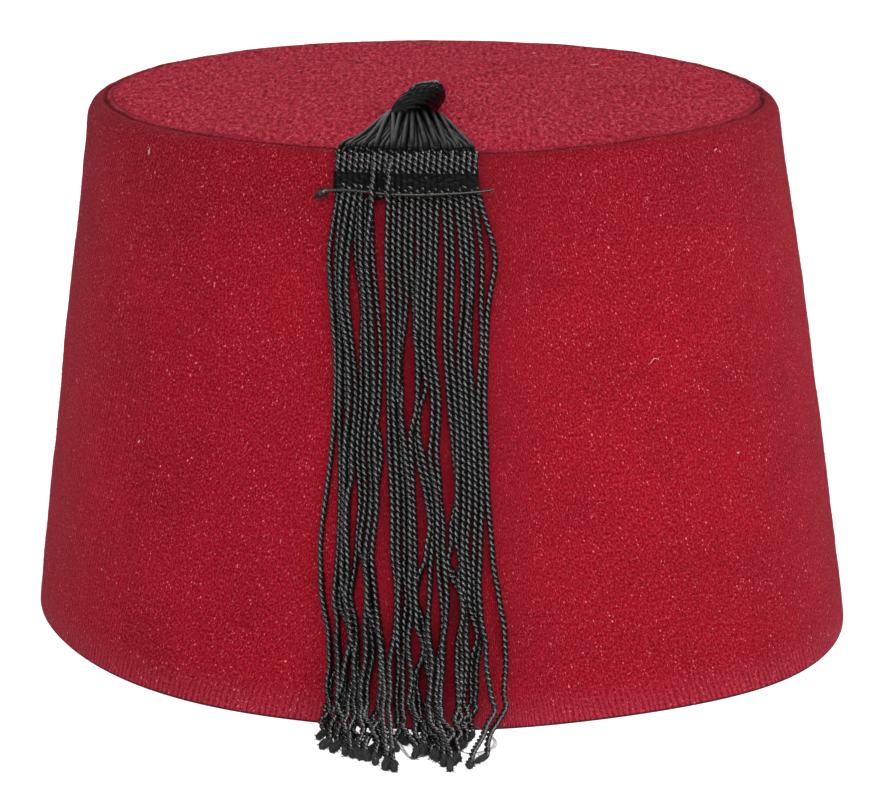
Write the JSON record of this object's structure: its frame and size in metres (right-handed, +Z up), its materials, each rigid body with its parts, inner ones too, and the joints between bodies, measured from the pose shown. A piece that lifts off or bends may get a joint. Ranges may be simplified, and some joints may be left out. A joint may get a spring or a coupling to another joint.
{
  "type": "fez hat",
  "caption": "Stiff felt fez with tapering walls, a creased flat top and a black corded tassel that hangs down its front and lies on the ground.",
  "frame": {"origin": "middle of the footprint of crown and tassel, on the surface that the rim rests on", "axes": "+Z up through the crown, -Y towards the side where the tassel hangs, +X to the right of someone who faces the tassel"},
  "size_m": [0.1836, 0.2154, 0.125],
  "materials": {
    "red_felt": "napped wool felt",
    "black_cord": "twisted silk cord, satin",
    "black_silk": "wound silk, glossy",
    "grey_thread": "stiff waxed thread"
  },
  "bodies": {
    "root": {"crown": "red_felt", "tassel": "black_cord", "tassel_knot": "black_silk", "binding_thread": "grey_thread"}
  },
  "joints": []
}
